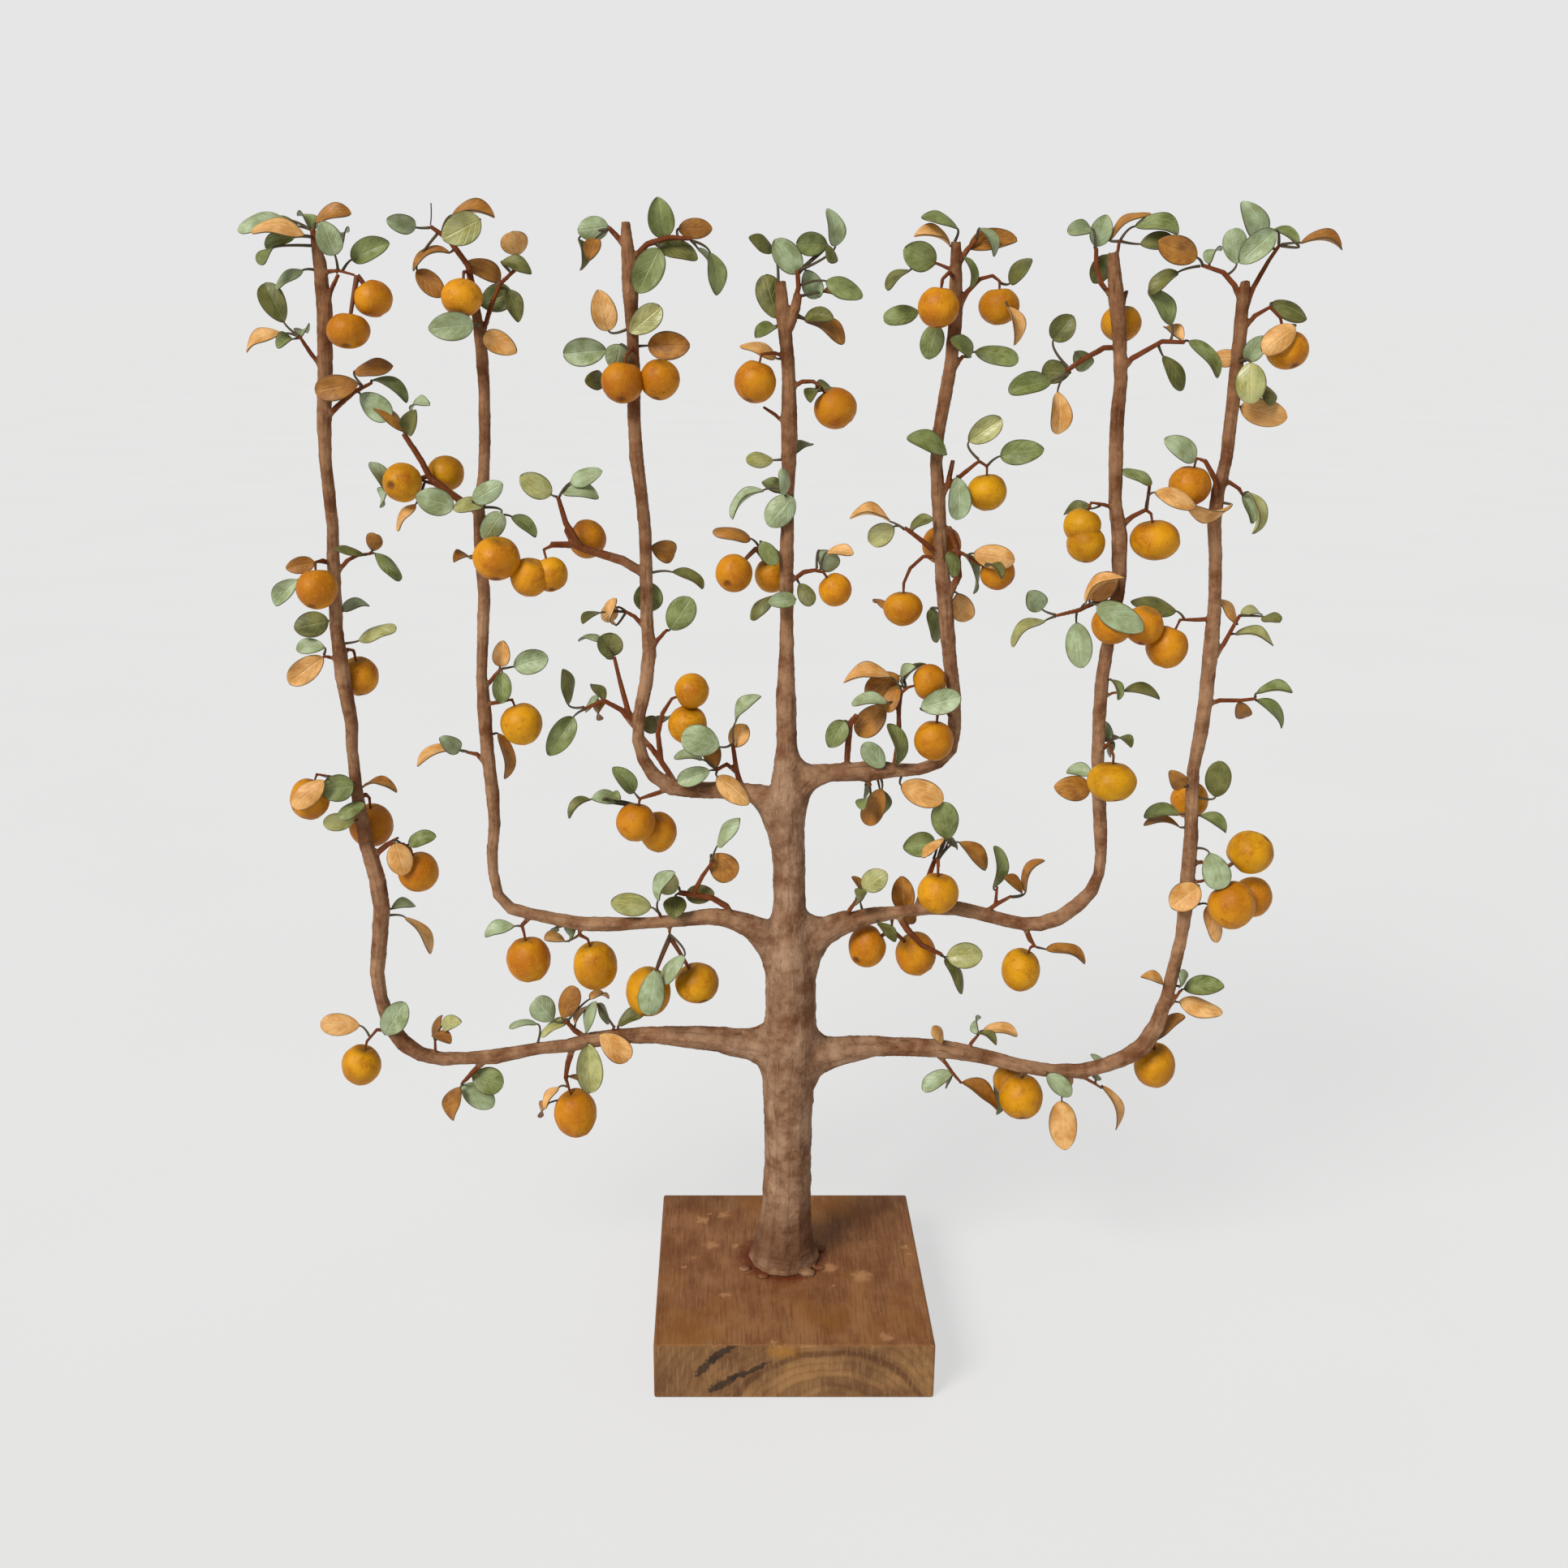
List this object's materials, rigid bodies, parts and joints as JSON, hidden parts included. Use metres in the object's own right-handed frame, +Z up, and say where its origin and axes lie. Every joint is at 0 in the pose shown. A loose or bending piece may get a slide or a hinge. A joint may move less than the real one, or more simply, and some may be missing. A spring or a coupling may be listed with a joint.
{
  "type": "decorative clay tree",
  "caption": "Decorative clay tree on a wood block: a trunk carrying tiers of arms that turn up like a trained fruit tree, hung with small round fruit.",
  "frame": {"origin": "centre of the wood block's underside, which is also the bottom centre of the whole piece", "axes": "+Z up along the trunk, +X to the right of someone facing the front, +Y from the front to the back through the flat fan of arms"},
  "size_m": [0.5266, 0.15, 0.6001],
  "materials": {
    "stained_wood": "satin stain",
    "bark_clay": "matte, scratched",
    "painted_clay": "painted, satin",
    "zinc_steel": "zinc plated",
    "wire_steel": "dull annealed"
  },
  "bodies": {
    "root": {"base_block": "stained_wood", "base_washer": "zinc_steel", "base_nut": "zinc_steel", "centre_rod": "zinc_steel", "centre_leader_wire": "wire_steel", "lower_arm_wire": "wire_steel", "middle_arm_wire": "wire_steel", "upper_arm_wire": "wire_steel", "trunk_clay": "bark_clay", "arm_outer_left": "bark_clay", "arm_mid_left": "bark_clay", "arm_inner_left": "bark_clay", "arm_inner_right": "bark_clay", "arm_mid_right": "bark_clay", "arm_outer_right": "bark_clay", "fruit_outer_left_1": "painted_clay", "fruit_outer_left_2": "painted_clay", "fruit_outer_left_3": "painted_clay", "fruit_outer_left_4": "painted_clay", "fruit_outer_left_5": "painted_clay", "fruit_outer_left_6": "painted_clay", "fruit_outer_left_7": "painted_clay", "fruit_outer_left_8": "painted_clay", "fruit_mid_left_1": "painted_clay", "fruit_mid_left_2": "painted_clay", "fruit_mid_left_3": "painted_clay", "fruit_mid_left_4": "painted_clay", "fruit_mid_left_5": "painted_clay", "fruit_mid_left_6": "painted_clay", "fruit_inner_left_1": "painted_clay", "fruit_inner_left_2": "painted_clay", "fruit_inner_left_3": "painted_clay", "fruit_inner_left_4": "painted_clay", "fruit_inner_left_5": "painted_clay", "fruit_centre_1": "painted_clay", "fruit_centre_2": "painted_clay", "fruit_centre_3": "painted_clay", "fruit_centre_4": "painted_clay", "fruit_inner_right_1": "painted_clay", "fruit_inner_right_2": "painted_clay", "fruit_inner_right_3": "painted_clay", "fruit_inner_right_4": "painted_clay", "fruit_inner_right_5": "painted_clay", "fruit_inner_right_6": "painted_clay", "fruit_inner_right_7": "painted_clay", "fruit_inner_right_8": "painted_clay", "fruit_mid_right_1": "painted_clay", "fruit_mid_right_2": "painted_clay", "fruit_mid_right_3": "painted_clay", "fruit_mid_right_4": "painted_clay", "fruit_mid_right_5": "painted_clay", "fruit_mid_right_6": "painted_clay", "fruit_mid_right_7": "painted_clay", "fruit_outer_right_1": "painted_clay", "fruit_outer_right_2": "painted_clay", "fruit_outer_right_3": "painted_clay", "fruit_outer_right_4": "painted_clay", "fruit_outer_right_5": "painted_clay", "fruit_outer_right_6": "painted_clay", "fruit_outer_right_7": "painted_clay"}
  },
  "joints": []
}
